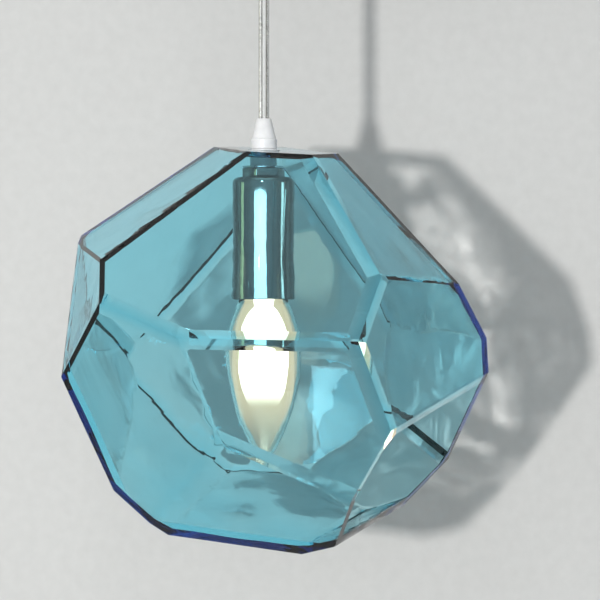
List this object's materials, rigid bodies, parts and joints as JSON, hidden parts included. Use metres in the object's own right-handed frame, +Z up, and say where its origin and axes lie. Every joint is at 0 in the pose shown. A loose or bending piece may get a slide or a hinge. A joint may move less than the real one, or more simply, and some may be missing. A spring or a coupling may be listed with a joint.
{
  "type": "pendant lamp",
  "caption": "Faceted turquoise glass pendant lamp on a short clear cord, with a chrome lampholder cup and a candle bulb that unscrews through the open facet.",
  "frame": {"origin": "centre of the ceiling face of the mounting bracket", "axes": "+Z up into the ceiling, the lamp hangs along -Z; -Y is the side with the large closed facets; +X is the side with the open facet"},
  "size_m": [0.1924, 0.1877, 0.3006],
  "materials": {
    "white_metal": "satin white powder coat",
    "zinc": "zinc plated",
    "chrome": "polished",
    "brass": "plain",
    "white_plastic": "translucent white nylon",
    "clear_pvc": "clear",
    "black_plastic": "moulded phenolic",
    "copper": "copper strand",
    "turquoise_glass": "mould-blown, turquoise",
    "bulb_glass": "clear, warm from the light",
    "glow": "glowing filament"
  },
  "bodies": {
    "rose": {"ceiling_canopy": "white_metal", "mounting_bracket": "zinc", "canopy_screw_left": "zinc", "canopy_screw_right": "zinc", "terminal_block": "white_plastic", "block_screw_left": "brass", "block_screw_right": "brass", "supply_wire_live": "copper", "supply_wire_neutral": "copper", "swivel_nipple": "zinc", "swivel_socket": "chrome", "swivel_collar": "chrome", "swivel_nut": "zinc"},
    "gimbal": {"swivel_ring": "white_plastic"},
    "ball": {"swivel_ball": "chrome"},
    "pendant": {"cord": "clear_pvc", "cord_ferrule": "white_plastic", "outer_washer": "white_plastic", "threaded_tube": "white_plastic", "inner_bush": "white_plastic", "lock_washer": "zinc", "lock_nut": "chrome", "cup_nut": "zinc", "holder_cup": "chrome", "lampholder_body": "black_plastic", "socket_shell": "brass", "centre_contact": "brass", "side_contact": "brass", "terminal_screw_live": "zinc", "terminal_screw_neutral": "zinc", "lead_wire_live": "copper", "lead_wire_neutral": "copper"},
    "shade": {"glass_shade": "turquoise_glass"},
    "bulb_lift": {"bulb_contact_button": "zinc"},
    "bulb": {"bulb_envelope": "bulb_glass", "bulb_screw_shell": "brass", "bulb_insulator": "black_plastic", "bulb_stem": "bulb_glass", "filament_post_left": "zinc", "filament_post_right": "zinc", "filament": "glow"}
  },
  "joints": [
    {"name": "swing_side", "type": "hinge", "parent": "rose", "child": "gimbal", "pos_m": [0, 0, -0.0335], "axis": [0, 1, 0], "range_deg": [-20, 20]},
    {"name": "swing_fore", "type": "hinge", "parent": "gimbal", "child": "ball", "pos_m": [0, 0, -0.0335], "axis": [1, 0, 0], "range_deg": [-20, 20]},
    {"name": "cord_twist", "type": "hinge", "parent": "ball", "child": "pendant", "pos_m": [0, 0, -0.0335], "axis": [0, 0, 1], "range_deg": [-180, 180]},
    {"name": "shade_turn", "type": "hinge", "parent": "pendant", "child": "shade", "pos_m": [0, 0, -0.1177], "axis": [0, 0, 1], "continuous": true},
    {"name": "bulb_drop", "type": "slide", "parent": "pendant", "child": "bulb_lift", "axis": [0, 0, -1], "range_m": [0, 0.0142]},
    {"name": "bulb_turn", "type": "hinge", "parent": "bulb_lift", "child": "bulb", "pos_m": [0, 0, -0.17], "axis": [0, 0, -1], "range_deg": [0, 1800]}
  ],
  "couplings": [
    {"joint": "bulb_drop", "follows": "bulb_turn", "m_per_rad": 0.00044882}
  ]
}
